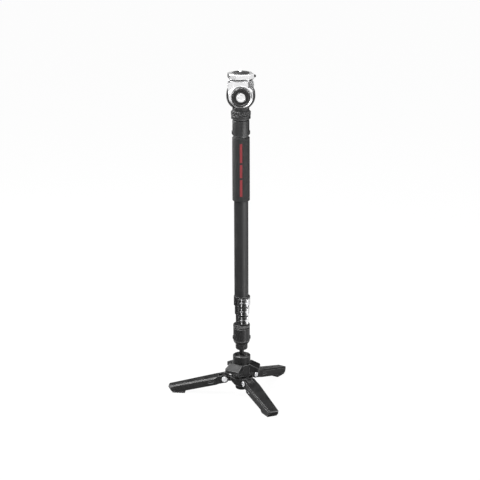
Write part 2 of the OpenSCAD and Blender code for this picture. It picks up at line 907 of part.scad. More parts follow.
module tilt_drum() {
  edge = 1.5;
  color("#1a1a1c")
    difference() {
      union() {
        along_tilt_axis()
          rotate_extrude()
            polygon([
              [0, -drum_t / 2], [drum_r - edge, -drum_t / 2], [drum_r, -drum_t / 2 + edge],
              [drum_r, drum_t / 2 - edge], [drum_r - edge, drum_t / 2], [0, drum_t / 2]
            ]);
        rod(neck_r, neck_z, neck_top);
        rod(spigot_r, pan_top - spigot_len, neck_z + over);
      }
      along_tilt_axis() cylinder(r = axle_r + run, h = 2 * drum_t, center = true);
      for (side = [0, 1])
        mirror([0, side, 0])
          along_tilt_axis()
            translate([0, 0, drum_t / 2 - disc_t + 0.3]) cylinder(r = disc_r + 0.2, h = disc_t);
      rod(pan_screw_r, pan_top - spigot_len - over, pan_top);
    }
}

module friction_discs() {
  color("#cfcac0")
    for (side = [0, 1])
      mirror([0, side, 0])
        along_tilt_axis()
          pipe(disc_r, axle_r + run, drum_t / 2 - disc_t + 0.3, drum_t / 2 + 0.3);
}

module tilt_yoke() {
  color("#dfe1e3")
    difference() {
      union() {
        for (side = [0, 1]) mirror([0, side, 0]) yoke_cheek();
        translate([0, 0, table_z]) at_qr() linear_extrude(height = table_t) qr_outline(table_in);
      }
      along_tilt_axis() cylinder(r = axle_r, h = 4 * cheek_out, center = true);
      along_tilt_axis()
        translate([0, 0, cheek_out - axle_head_t - 0.6]) cylinder(r = axle_head_r, h = cheek_t);
      at_qr()
        for (x = [-qr_screw_x, qr_screw_x])
          translate([x, 0, table_z - over]) cylinder(r = qr_screw_r, h = table_t + 2 * over);
    }
}

// Cheek at the rear: round below, with shoulders up to the table
module yoke_cheek() {
  along_tilt_axis()
    rotate_extrude()
      polygon(concat(
        [[0, cheek_in]],
        [for (e = cheek_edge) [cheek_r - e[1], cheek_in + e[0]]],
        [[0, cheek_out]]
      ));
  intersection() {
    translate([0, 2 * cheek_out, axis_z])
      rotate([90, 0, 0]) linear_extrude(height = 2 * cheek_out) cheek_front();
    linear_extrude(height = 2 * axis_z) cheek_plan();
    translate([-2 * shoulder_half, 0, axis_z])
      rotate([90, 0, 90]) linear_extrude(height = 4 * shoulder_half) cheek_section();
  }
}

module cheek_front() {
  corner_r = 6;
  corner_z = table_z - axis_z - corner_r - 2.5;
  half = shoulder_half - corner_r;
  polygon(concat(
    [[-cheek_r + 3, -6]],
    arc([-half, corner_z], corner_r, 180, 90),
    [[-half, table_z - axis_z + table_t / 2], [half, table_z - axis_z + table_t / 2]],
    arc([half, corner_z], corner_r, 90, 0),
    [[cheek_r - 3, -6]]
  ));
}

module cheek_plan() {
  polygon(concat(
    [for (e = shoulder_edge) [shoulder_half - e[1], cheek_in + e[0]]],
    [for (i = [3 : -1 : 0]) [shoulder_edge[i][1] - shoulder_half, cheek_in + shoulder_edge[i][0]]]
  ));
}

module cheek_section() {
  top = table_z - axis_z + table_t / 2;
  polygon(concat(
    [[cheek_in, -cheek_r]],
    [[cheek_in, top]],
    [for (e = cheek_edge) if (e[1] > 0) [cheek_in + e[0], top - e[1]]],
    [[cheek_out, -cheek_r]]
  ));
}

module tilt_axle() {
  color("#b9bcc0")
    along_tilt_axis()
      difference() {
        union() {
          translate([0, 0, -axle_tail]) cylinder(r = axle_r, h = axle_tail + cheek_out - axle_head_t - 0.6);
          translate([0, 0, cheek_out - axle_head_t - 0.6]) cylinder(r = axle_head_r, h = axle_head_t);
        }
        translate([0, 0, cheek_out - 3.2]) cylinder(r = 4.6, h = 3 + over, $fn = 6);
      }
}

// Front lock knob: fluted rim, dished face, seat for its cap
module tilt_knob() {
  flute_r = 1.5;
  low = -knob_y;
  face = -knob_y - knob_h;
  color("#1c1c1e")
    along_tilt_axis()
      difference() {
        rotate_extrude()
          polygon([
            [0, low], [knob_r - 3.4, low], [knob_r - 3.4, low - 2], [knob_r, low - 3],
            [knob_r, face + 1.6], [knob_r - 1.6, face], [knob_r - 3.6, face], [knob_r - 4.4, face + 0.9],
            [cap_seat_r + 1.4, face + 0.9], [cap_seat_r + 0.6, face], [cap_seat_r, face],
            [cap_seat_r, face + 1.5], [0, face + 1.5]
          ]);
        translate([0, 0, -axle_tail - gap]) cylinder(r = axle_r + run, h = knob_h);
        for (i = [0 : knob_flutes - 1])
          rotate([0, 0, i * 360 / knob_flutes])
            translate([knob_r + 0.7, 0, face - over])
              cylinder(r = flute_r, h = knob_h - 3.4 + over, $fn = 20);
      }
}

module knob_cap() {
  cap_t = 1.4;
  face = -knob_y - knob_h + 1.5;
  color("#cfd1d4")
    along_tilt_axis()
      rotate_extrude()
        polygon([
          [0, face], [cap_seat_r - run, face], [cap_seat_r - run, face - cap_t + 0.4],
          [cap_seat_r - 0.6, face - cap_t], [5.4, face - cap_t],
          [5, face - cap_t + 0.4], [0, face - cap_t + 0.4]
        ]);
}

// Quick release

// Square with cut corners, drawn in by an inset
module qr_outline(inset) {
  a = qr_w / 2 - inset;
  c = a - qr_corner + inset * (2 - sqrt(2));
  polygon([[-c, -a], [c, -a], [a, -c], [a, c], [c, a], [-c, a], [-a, c], [-a, -c]]);
}

// Body with a bevel above and a deep bevel below on all eight sides
module qr_body() {
  flat = qr_w / 2;
  corner = (qr_w - qr_corner) / sqrt(2);
  intersection() {
    translate([0, 0, qr_z]) linear_extrude(height = qr_h) qr_outline(0);
    qr_bevel(0, flat);
    qr_bevel(45, corner);
    qr_bevel(90, flat);
    qr_bevel(135, corner);
  }
}

// Long bar whose section gives the bevels of two opposite sides
module qr_bevel(turn, half) {
  edge = 1;
  rotate([0, 0, turn])
    translate([0, qr_w, 0])
      rotate([90, 0, 0])
        linear_extrude(height = 2 * qr_w)
          polygon([
            [qr_low_in - half, qr_z], [half - qr_low_in, qr_z], [half, qr_z + qr_low_h],
            [half, qr_top - edge], [half - edge, qr_top], [edge - half, qr_top],
            [-half, qr_top - edge], [-half, qr_z + qr_low_h]
          ]);
}

module qr_clamp() {
  color("#e6e7e9")
    difference() {
      at_qr() qr_body();
      rod(plate_r + gap, plate_seat_z, qr_top + over);
      rod(boss_r + gap, boss_z, qr_top + over);
      at_qr() {
        translate([qr_button_in - gap, -qr_button_w / 2 - run, qr_button_z - run])
          cube([qr_w, qr_button_w + 2 * run, qr_button_h + 2 * run]);
        for (x = [-qr_screw_x, qr_screw_x]) {
          translate([x, 0, qr_z - over]) cylinder(r = qr_screw_r, h = qr_h);
          translate([x, 0, boss_z - 2]) cylinder(r1 = qr_screw_r, r2 = qr_screw_r + 2, h = 2);
        }
      }
    }
}

// Countersunk screws through the clamp's floor into the yoke's table
module qr_clamp_screws() {
  color("#b9bcc0")
    at_qr()
      for (x = [-qr_screw_x, qr_screw_x])
        translate([x, 0, 0]) {
          rod(qr_screw_r, table_z + 0.4, boss_z);
          translate([0, 0, boss_z - 2]) cylinder(r1 = qr_screw_r, r2 = qr_screw_r + 2, h = 2);
        }
}

module qr_button() {
  out = qr_w / 2 + qr_button_out;
  edge = 1;
  inner = qr_button_in + 2.8;
  color("#161617")
    at_qr()
      translate([0, 0, qr_button_z])
        linear_extrude(height = qr_button_h)
          polygon([
            [inner, -qr_button_w / 2], [out - edge, -qr_button_w / 2], [out, -qr_button_w / 2 + edge],
            [out, qr_button_w / 2 - edge], [out - edge, qr_button_w / 2], [inner, qr_button_w / 2]
          ]);
}

// Plate with a round boss below that seats in the clamp
module camera_plate() {
  edge = 0.8;
  color("#1a1a1c")
    difference() {
      rotate_extrude()
        polygon([
          [0, boss_z + gap], [boss_r - 0.8, boss_z + gap], [boss_r, boss_z + gap + 0.8],
          [boss_r, plate_seat_z], [plate_r, plate_seat_z], [plate_r, plate_top - edge],
          [plate_r - edge, plate_top], [0, plate_top]
        ]);
      rod(screw_r + run, boss_z, plate_top + over);
      rod(screw_head_r + gap, boss_z, boss_z + gap + screw_head_t + 0.4);
    }
}

module plate_pad() {
  edge = 0.4;
  color("#2e2e30")
    rotate_extrude()
      polygon([
        [screw_r + 1.2, plate_top], [pad_r, plate_top], [pad_r, pad_top - edge], [pad_r - edge, pad_top],
        [screw_r + 1.2, pad_top]
      ]);
}

module camera_screw() {
  tip = 0.8;
  head_z = boss_z + gap + 0.2;
  color("#c9cbce")
    difference() {
      union() {
        rod(screw_head_r, head_z, head_z + screw_head_t);
        rod(screw_r - 0.7, head_z, pad_top + gap);
        rod(screw_r, pad_top + gap, pad_top + screw_rise - tip);
        translate([0, 0, pad_top + screw_rise - tip]) cylinder(r1 = screw_r, r2 = screw_r - tip, h = tip);
      }
      translate([-2 * screw_head_r, -0.8, head_z - over]) cube([4 * screw_head_r, 1.6, over + 1.4]);
    }
}

base_hub();
hub_cap();
hub_screw();
ball_housing();
leg_bolts();
lock_springs();
leg_left();
foot_left();
leg_right();
foot_right();
leg_front();
foot_front();
pedal_ring();
ball_seat();
ball_stud();
bearing_bowl();
bearing_keeper();
lower_collar();
tube_ferrule();
tube_4();
guide_bush_3();
lower_button_left();
lower_button_right();
tube_3();
clamp_3();
clamp_3_bolt();
lever_3();
guide_bush_2();
tube_2();
clamp_2();
clamp_2_bolt();
lever_2();
guide_bush_1();
tube_1();
clamp_1();
clamp_1_bolt();
lever_1();
grip();
upper_collar();
upper_button_left();
upper_button_right();
pan_base();
pan_screw();
pan_lock_ring();
tilt_drum();
friction_discs();
tilt_yoke();
tilt_axle();
tilt_knob();
knob_cap();
qr_clamp();
qr_clamp_screws();
qr_button();
camera_plate();
plate_pad();
camera_screw();
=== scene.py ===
import json
import math

import bmesh
import bpy
from mathutils import Euler, Matrix, Vector


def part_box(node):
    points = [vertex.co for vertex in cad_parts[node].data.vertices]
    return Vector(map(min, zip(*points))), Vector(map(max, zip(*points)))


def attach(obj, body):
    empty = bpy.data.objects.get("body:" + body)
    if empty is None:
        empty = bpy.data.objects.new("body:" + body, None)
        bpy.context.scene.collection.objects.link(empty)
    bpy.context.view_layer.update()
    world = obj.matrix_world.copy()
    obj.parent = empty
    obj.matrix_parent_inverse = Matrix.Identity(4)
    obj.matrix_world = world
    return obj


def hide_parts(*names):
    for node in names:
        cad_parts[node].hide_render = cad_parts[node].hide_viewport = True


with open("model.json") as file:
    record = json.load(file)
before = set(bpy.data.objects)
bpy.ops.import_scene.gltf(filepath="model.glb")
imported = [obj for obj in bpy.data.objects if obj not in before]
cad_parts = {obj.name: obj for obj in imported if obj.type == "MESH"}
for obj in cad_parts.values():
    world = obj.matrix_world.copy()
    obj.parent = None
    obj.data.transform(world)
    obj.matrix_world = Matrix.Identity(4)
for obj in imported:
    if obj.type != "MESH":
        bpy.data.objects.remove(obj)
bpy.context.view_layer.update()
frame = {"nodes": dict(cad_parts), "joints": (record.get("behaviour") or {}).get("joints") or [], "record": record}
nodes = frame["nodes"]

MM = 0.001
TURN = 2.0 * math.pi
UP = Vector((0.0, 0.0, 1.0))
WHITE = (1.0, 1.0, 1.0, 1.0)
NOISE_SPAN = (0.35, 0.65)  # where most values of a noise lie
BEVEL_SAMPLES = 8
LEG_AZIMUTH = {"left": 175.0, "right": 55.0, "front": -65.0}


# Materials


def add_node(tree, kind, inputs=None, **settings):
    """A node with its settings. An input takes a value, or an output socket to link."""
    node = tree.nodes.new(kind)
    for key, value in settings.items():
        setattr(node, key, value)
    for name, value in (inputs or {}).items():
        if isinstance(value, bpy.types.NodeSocket):
            tree.links.new(value, node.inputs[name])
        else:
            node.inputs[name].default_value = value
    return node


def tint(level, red=1.0, green=1.0, blue=1.0):
    """A near grey: a level, times a share for each channel."""
    return (level * red, level * green, level * blue)


class Mat:
    """A principled material, with helpers that put texture nodes in front of its inputs."""

    def __init__(self, name, color, metallic, roughness, specular):
        self.material = bpy.data.materials.new(name)
        self.material.use_nodes = True
        self.tree = self.material.node_tree
        self.tree.nodes.clear()
        self.base = (*color, 1.0)
        self.metallic = metallic
        self.specular = specular
        self.shader = self.node("ShaderNodeBsdfPrincipled", {
            "Base Color": self.base,
            "Metallic": metallic,
            "Roughness": roughness,
            "Specular IOR Level": specular,
        })
        self.node("ShaderNodeOutputMaterial", {"Surface": self.shader.outputs["BSDF"]})
        self.place = self.node("ShaderNodeTexCoord").outputs["Object"]
        self.normal = None

    def node(self, kind, inputs=None, **settings):
        return add_node(self.tree, kind, inputs, **settings)

    def feed(self, name, socket):
        self.tree.links.new(socket, self.shader.inputs[name])

    def noise(self, scale, detail, stretch=(1.0, 1.0, 1.0)):
        place = self.node("ShaderNodeMapping", {"Vector": self.place, "Scale": stretch})
        texture = self.node("ShaderNodeTexNoise", {
            "Vector": place.outputs["Vector"],
            "Scale": scale,
            "Detail": detail,
        })
        return texture.outputs["Fac"]

    def calc(self, operation, a, b):
        return self.node("ShaderNodeMath", {0: a, 1: b}, operation=operation).outputs["Value"]

    def ramp(self, value, span, result):
        """Maps a span of the value to a span of results, held at both ends."""
        node = self.node("ShaderNodeMapRange", {
            "Value": value,
            "From Min": span[0],
            "From Max": span[1],
            "To Min": result[0],
            "To Max": result[1],
        })
        return node.outputs["Result"]

    def mix_in(self, mask, color):
        """Puts a second colour over the base colour where the mask is 1."""
        inputs = {"Factor": mask, "A": self.base, "B": (*color, 1.0)}
        self.base = self.node("ShaderNodeMix", inputs, data_type="RGBA").outputs["Result"]
        self.feed("Base Color", self.base)

    def vary_color(self, cloud, color):
        self.mix_in(self.ramp(cloud, NOISE_SPAN, (0.0, 1.0)), color)

    def vary_rough(self, cloud, least, most):
        self.feed("Roughness", self.ramp(cloud, NOISE_SPAN, (least, most)))

    def bend_normal(self, node):
        self.normal = node.outputs["Normal"]
        self.feed("Normal", self.normal)

    def bump(self, height, strength, distance):
        inputs = {"Height": height, "Strength": strength, "Distance": distance}
        if self.normal is not None:
            inputs["Normal"] = self.normal
        self.bend_normal(self.node("ShaderNodeBump", inputs))

    def rounded(self, radius):
        return self.node("ShaderNodeBevel", {"Radius": radius}, samples=BEVEL_SAMPLES)

    def soft_edges(self, radius):
        self.bend_normal(self.rounded(radius))

    def edge_wear_and_highlight(self, radius, wear_and_highlight, gloss, patch):
        """Lighter, glossier material along edges, in uneven patches: partly wear from rubbing the finish, partly a
        painted edge highlight.
        """
        normals = {
            0: self.rounded(radius).outputs["Normal"],
            1: self.node("ShaderNodeNewGeometry").outputs["Normal"],
        }
        turn = self.node("ShaderNodeVectorMath", normals, operation="DOT_PRODUCT")
        edge = self.ramp(turn.outputs["Value"], (0.995, 0.94), (0.0, 1.0))
        patchy = self.ramp(self.noise(patch, detail=4.0), (0.36, 0.6), (0.4, 1.0))
        mask = self.calc("MULTIPLY", edge, patchy)
        # The lighter edge colour is partly wear and partly a painted highlight along the edges.
        self.mix_in(mask, tint(wear_and_highlight, blue=1.02))
        self.feed("Specular IOR Level", self.ramp(mask, (0.0, 1.0), (self.specular, gloss)))

    def painted_shade_above(self, height, level):
        """Painted shade: black, unpolished colour on all that lies above a height of the object's own frame."""
        place = self.node("ShaderNodeSeparateXYZ", {"Vector": self.place})
        above = self.calc("GREATER_THAN", place.outputs["Z"], height)
        self.mix_in(above, tint(level))
        self.feed("Metallic", self.ramp(above, (0.0, 1.0), (self.metallic, 0.0)))


# No finish has a roughness range that crosses 0.27: gloss rendered with fine lines there.


def black_coat(name, level, rough, grain, depth, wear_and_highlight):
    """Powder coat or moulded black: fine orange peel, faint clouds in the gloss, lighter edges that are partly
    wear and partly painted highlight.
    """
    m = Mat(name, tint(level, blue=1.04), metallic=0.0, roughness=rough, specular=0.3)
    m.soft_edges(0.5 * MM)
    cloud = m.noise(60.0, detail=4.0)
    m.vary_color(cloud, tint(level, 1.5, 1.5, 1.5))
    m.edge_wear_and_highlight(1.1 * MM, wear_and_highlight, gloss=0.8, patch=90.0)
    m.vary_rough(cloud, rough - 0.06, rough + 0.08)
    m.bump(m.noise(grain, detail=2.0), strength=0.35, distance=depth)
    return m


def anodised(name, level, rough):
    """Black anodised turned metal: fine lines round the axis, a soft sheen, lighter edges that are partly wear and
    partly painted highlight.
    """
    m = Mat(name, tint(level, blue=1.05), metallic=0.0, roughness=rough, specular=0.38)
    m.soft_edges(0.35 * MM)
    lines = m.noise(300.0, detail=2.0, stretch=(0.06, 0.06, 6.0))
    m.vary_color(lines, tint(level, 1.6, 1.6, 1.65))
    m.edge_wear_and_highlight(0.9 * MM, wear_and_highlight=0.16, gloss=0.8, patch=70.0)
    m.vary_rough(m.noise(45.0, detail=4.0), rough - 0.05, rough + 0.07)
    m.bump(lines, strength=0.12, distance=0.05 * MM)
    return m


def satin_silver(name, level, rough):
    """Bead-blasted light alloy with a fine grain and faint handling marks."""
    m = Mat(name, tint(level, blue=1.01), metallic=1.0, roughness=rough, specular=0.5)
    m.soft_edges(0.6 * MM)
    cloud = m.noise(55.0, detail=5.0)
    m.vary_color(cloud, tint(level, 0.97, 0.97, 0.975))
    m.vary_rough(cloud, rough - 0.012, rough + 0.012)
    m.bump(m.noise(1600.0, detail=1.0), strength=0.03, distance=0.01 * MM)
    return m


def yoke_silver_painted_shade(level, rough):
    """Silver cheeks, with the narrow step below the clamp painted black as the shade in that recess."""
    m = satin_silver("yoke_silver_painted_shade", level, rough)
    step_height = 2.2 * MM
    # Painted shade: the step under the clamp is coloured black for the shadow in its recess.
    m.painted_shade_above(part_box("qr_clamp")[0].z - step_height, level=0.02)
    return m


def turned_steel(name, level, rough):
    """Bright steel with a fine grain."""
    m = Mat(name, tint(level, blue=1.02), metallic=0.6, roughness=rough, specular=0.5)
    m.soft_edges(0.25 * MM)
    grain = m.noise(800.0, detail=2.0)
    m.vary_rough(grain, rough - 0.07, rough + 0.1)
    m.vary_color(m.noise(90.0, detail=3.0), tint(level, 0.85, 0.86, 0.88))
    m.bump(grain, strength=0.1, distance=0.03 * MM)
    return m


def rubber(name, level, rough, grain, depth):
    """Rubber, foam or soft plastic: small pores, and gloss that varies in patches."""
    m = Mat(name, tint(level, blue=1.02), metallic=0.0, roughness=rough, specular=0.25)
    pores = m.noise(grain, detail=4.0)
    m.vary_color(pores, tint(level, 1.7, 1.7, 1.72))
    m.vary_rough(m.noise(80.0, detail=3.0), rough - 0.08, rough + 0.06)
    m.bump(pores, strength=0.5, distance=depth)
    return m


def red_print(name):
    """Matt red print, slightly scuffed."""
    m = Mat(name, (0.17, 0.01, 0.014), metallic=0.0, roughness=0.55, specular=0.4)
    m.vary_color(m.noise(900.0, detail=3.0), (0.12, 0.008, 0.012))
    m.bump(m.noise(1400.0, detail=2.0), strength=0.3, distance=0.05 * MM)
    return m


CAST = black_coat("black_cast", 0.006, rough=0.36, grain=700.0, depth=0.12 * MM, wear_and_highlight=0.15)
PLASTIC = black_coat("black_plastic", 0.005, rough=0.38, grain=1300.0, depth=0.08 * MM, wear_and_highlight=0.05)
ANODISED = anodised("black_anodised", 0.007, rough=0.35)
TUBE = anodised("tube_black", 0.01, rough=0.36)
SILVER = satin_silver("satin_silver", 0.87, rough=0.245)
YOKE = yoke_silver_painted_shade(0.87, rough=0.245)
LEVER = satin_silver("lever_silver", 0.78, rough=0.42)
STEEL = turned_steel("bright_steel", 0.78, rough=0.37)
NATURAL = rubber("natural_plastic", 0.72, rough=0.5, grain=500.0, depth=0.03 * MM)
RUBBER = rubber("foot_rubber", 0.01, rough=0.7, grain=900.0, depth=0.15 * MM)
FOAM = rubber("grip_foam", 0.009, rough=0.72, grain=1100.0, depth=0.35 * MM)
RED = red_print("red_print")

SLOT_FINISH = {
    "black_cast": CAST,
    "black_anodised": ANODISED,
    "tube_black": TUBE,
    "silver": SILVER,
    "steel": STEEL,
    "black_plastic": PLASTIC,
    "natural_plastic": NATURAL,
    "rubber": RUBBER,
    "grip_rubber": FOAM,
}
NODE_FINISH = {"lever_1": LEVER, "lever_2": LEVER, "lever_3": LEVER, "tilt_yoke": YOKE}

for sub in frame["record"]["subparts"]:
    finish = NODE_FINISH.get(sub["node"], SLOT_FINISH[sub["material_slot"]])
    mesh_materials = nodes[sub["node"]].data.materials
    mesh_materials.clear()
    mesh_materials.append(finish.material)


# Stage, light and camera

LAMPS = {  # name: place, target, size in metres, power in watts
    "key": ((2.3, -1.2, 1.3), (0.0, 0.0, 0.35), (0.8, 1.8), 30.0),
    "fill": ((-1.3, -2.6, 1.0), (0.0, 0.0, 0.35), (0.7, 1.4), 8.0),
    "top": ((0.0, -0.65, 2.5), (0.0, 0.0, 0.2), (0.8, 0.6), 16.0),
    "edge": ((-1.15, -0.58, 2.5), (-0.1, 0.0, 0.05), (0.6, 0.5), 80.0),
    "front": ((0.5, -1.7, 2.2), (0.0, 0.0, 0.6), (0.8, 0.6), 6.0),
    "rim": ((-1.05, 0.5, 0.9), (0.0, -0.05, 0.1), (0.5, 0.5), 30.0),
    "back": ((-0.85, 0.95, 1.9), (0.0, 0.0, 0.07), (0.6, 0.5), 8.0),
    "strip": ((0.2, -0.17, 0.265), (0.0, 0.0, 0.265), (0.055, 0.53), 0.38),
    "collar": ((0.2, -0.17, 0.5), (0.0, 0.0, 0.5), (0.2, 0.06), 0.3),
}
CARDS = {  # name: place, target, size in metres, grey level
    "card_front": ((-0.11, -0.22, 0.24), (-0.11, 0.0, 0.24), (0.34, 0.48), 0.1),
    "card_left": ((-0.27, 0.05, 0.24), (0.0, 0.05, 0.24), (0.6, 0.48), 0.1),
    "card_floor": ((0.0, -0.1, 0.001), (0.0, -0.1, 1.0), (0.6, 0.5), 0.2),
    "card_back": ((0.0, 0.5, 0.4), (0.0, 0.0, 0.4), (2.0, 0.8), 0.03),
    "card_clamp": ((-0.245, -0.09, 0.615), (0.0, 0.0, 0.615), (0.16, 0.1), 0.5),
    "card_right": ((0.215, -0.189, 0.63), (0.0, 0.0, 0.63), (0.18, 0.2), 0.02),
}


def seen_rays(tree):
    """1 for rays that show the backdrop: from the camera, off gloss, and through glass."""
    rays = add_node(tree, "ShaderNodeLightPath").outputs
    seen = rays["Is Camera Ray"]
    for kind in ("Is Glossy Ray", "Is Transmission Ray"):
        most = add_node(tree, "ShaderNodeMath", {0: seen, 1: rays[kind]}, operation="MAXIMUM")
        seen = most.outputs["Value"]
    return seen


def add_floor():
    """Pale floor: lit and shadowed, but mostly white to the camera and in reflections."""
    level, white_share = 0.85, 0.96
    size, drop = 60.0, 0.5 * MM
    material = bpy.data.materials.new("floor_white")
    material.use_nodes = True
    tree = material.node_tree
    tree.nodes.clear()
    lit = add_node(tree, "ShaderNodeBsdfDiffuse", {"Color": (*tint(level), 1.0)})
    white = add_node(tree, "ShaderNodeEmission", {"Color": WHITE, "Strength": 1.0})
    factors = {0: seen_rays(tree), 1: white_share}
    share = add_node(tree, "ShaderNodeMath", factors, operation="MULTIPLY")
    mix = add_node(tree, "ShaderNodeMixShader", {
        "Fac": share.outputs["Value"],
        1: lit.outputs["BSDF"],
        2: white.outputs["Emission"],
    })
    add_node(tree, "ShaderNodeOutputMaterial", {"Surface": mix.outputs["Shader"]})
    bpy.ops.mesh.primitive_plane_add(size=size, location=(0.0, 0.0, -drop))
    floor = bpy.context.object
    floor.name = "floor"
    floor.data.materials.append(material)


def add_world():
    """White studio: a weak light from all sides, full white to the camera and in reflections."""
    ambient = 0.4
    world = bpy.data.worlds.new("studio")
    bpy.context.scene.world = world
    world.use_nodes = True
    tree = world.node_tree
    tree.nodes.clear()
    light = add_node(tree, "ShaderNodeBackground", {"Color": WHITE, "Strength": ambient})
    seen = add_node(tree, "ShaderNodeBackground", {"Color": WHITE, "Strength": 1.0})
    mix = add_node(tree, "ShaderNodeMixShader", {
        "Fac": seen_rays(tree),
        1: light.outputs["Background"],
        2: seen.outputs["Background"],
    })
    add_node(tree, "ShaderNodeOutputWorld", {"Surface": mix.outputs["Shader"]})


def aim(obj, place, target):
    obj.location = place
    look = Vector(target) - Vector(place)
    obj.rotation_euler = look.to_track_quat("-Z", "Y").to_euler()


def add_lamp(name, place, target, size, power):
    data = bpy.data.lights.new(name, "AREA")
    data.shape = "RECTANGLE"
    data.size, data.size_y = size
    data.energy = power
    lamp = bpy.data.objects.new(name, data)
    bpy.context.collection.objects.link(lamp)
    aim(lamp, place, target)
    lamp.visible_camera = False


def add_card(name, place, target, size, level):
    """Dark studio card beside the object: seen only as a reflection, so it blocks no light."""
    x, y = 0.5 * size[0], 0.5 * size[1]
    corners = [(-x, -y, 0.0), (x, -y, 0.0), (x, y, 0.0), (-x, y, 0.0)]
    mesh = bpy.data.meshes.new(name)
    mesh.from_pydata(corners, [], [(0, 1, 2, 3)])
    matt = Mat(name, tint(level), metallic=0.0, roughness=1.0, specular=0.0)
    mesh.materials.append(matt.material)
    card = bpy.data.objects.new(name, mesh)
    bpy.context.collection.objects.link(card)
    aim(card, place, target)
    card.visible_camera = False
    card.visible_diffuse = False
    card.visible_shadow = False
    card.visible_transmission = False


def add_camera():
    """Camera fitted to the photo: 3.2 m in front, looking down by about 16 degrees."""
    place = (-0.002, -3.2004, 1.2475)
    down, left, roll = 15.761, 0.012, -0.2
    data = bpy.data.cameras.new("camera")
    data.sensor_width = 36.0
    data.lens = 118.24
    data.clip_start = 0.05
    data.clip_end = 100.0
    cam = bpy.data.objects.new("camera", data)
    bpy.context.collection.objects.link(cam)
    look = Euler((math.radians(90.0 - down), 0.0, math.radians(left))).to_matrix()
    rolled = look @ Matrix.Rotation(math.radians(roll), 3, "Z")
    cam.matrix_world = Matrix.Translation(place) @ rolled.to_4x4()
    bpy.context.scene.camera = cam


add_floor()
add_world()
for lamp_name, lamp_values in LAMPS.items():
    add_lamp(lamp_name, *lamp_values)
for card_name, card_values in CARDS.items():
    add_card(card_name, *card_values)
add_camera()
bpy.context.scene.view_settings.view_transform = "Standard"


# Mesh helpers


def new_object(name, bm, finish, body, smooth=True):
    """A mesh object with its faces turned outward, riding on a body."""
    mesh = bpy.data.meshes.new(name)
    bmesh.ops.recalc_face_normals(bm, faces=bm.faces)
    bm.to_mesh(mesh)
    bm.free()
    for polygon in mesh.polygons:
        polygon.use_smooth = smooth
    mesh.materials.append(finish.material)
    obj = bpy.data.objects.new(name, mesh)
    bpy.context.collection.objects.link(obj)
    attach(obj, body)
    return obj


def spread(first, last, steps):
    """Evenly spaced values from first to last, both included."""
    return [first + (last - first) * i / steps for i in range(steps + 1)]


def skin(bm, rings, loop=False):
    """Faces between neighbouring rings of points, joined to a loop or capped at both ends."""
    count = len(rings[0])
    following = rings[1:] + rings[:1] if loop else rings[1:]
    for a, b in zip(rings, following):
        for i in range(count):
            k = (i + 1) % count
            bm.faces.new((a[i], a[k], b[k], b[i]))
    if not loop:
        bm.faces.new(rings[0])
        bm.faces.new(rings[-1])


def revolve(profile, sides, loop=True, shift=None):
    """Skin round Z over a profile of (radius, height), joined to a loop or capped at both ends.

    shift gives a change of radius for a point, from its ring's number, its angle and its height.
    """
    bm = bmesh.new()
    rings = []
    for j, (radius, z) in enumerate(profile):
        ring = []
        for i in range(sides):
            a = TURN * i / sides
            r = radius + shift(j, a, z) if shift else radius
            ring.append(bm.verts.new((r * math.cos(a), r * math.sin(a), z)))
        rings.append(ring)
    skin(bm, rings, loop)
    return bm


# Grip


def add_grip():
    """Foam sleeve with rounded ends and two shallow moulded rings near each end."""
    low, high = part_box("grip")
    r_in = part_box("tube_1")[1].x + 0.05 * MM
    end_round = 1.6 * MM
    ring_places, ring_depth, ring_width = (5.0 * MM, 7.6 * MM), 0.35 * MM, 0.55 * MM
    steps, sides = 120, 96
    profile = [(r_in, low.z)]
    for z in spread(low.z, high.z, steps):
        from_end = min(z - low.z, high.z - z)
        in_round = max(end_round - from_end, 0.0)
        drawn_in = end_round - math.sqrt(max(end_round ** 2 - in_round ** 2, 0.0))
        for place in ring_places:
            drawn_in += ring_depth * math.exp(-((from_end - place) / ring_width) ** 2)
        profile.append((high.x - drawn_in, z))
    profile.append((r_in, high.z))
    obj = new_object("grip_foam", revolve(profile, sides), FOAM, "section_1")
    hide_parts("grip")


def add_grip_stripe():
    """Plain red stripe printed down the front of the grip, broken into long dashes."""
    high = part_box("grip")[1]
    r_face, r_back = high.x + 0.06 * MM, high.x - 0.2 * MM
    half_width, cells = 2.6 * MM, 6
    dashes = ((12.0 * MM, 52.0 * MM), (56.0 * MM, 84.0 * MM), (88.0 * MM, 124.0 * MM))
    across = spread(-half_width, half_width, cells)
    outline = [(x, -math.sqrt(r_face ** 2 - x ** 2)) for x in across]
    outline += [(x, -math.sqrt(r_back ** 2 - x ** 2)) for x in reversed(across)]
    bm = bmesh.new()
    for ends in dashes:
        skin(bm, [[bm.verts.new((x, y, high.z - end)) for x, y in outline] for end in ends])
    obj = new_object("grip_stripe", bm, RED, "section_1", smooth=False)


add_grip()
add_grip_stripe()


# Rubber feet


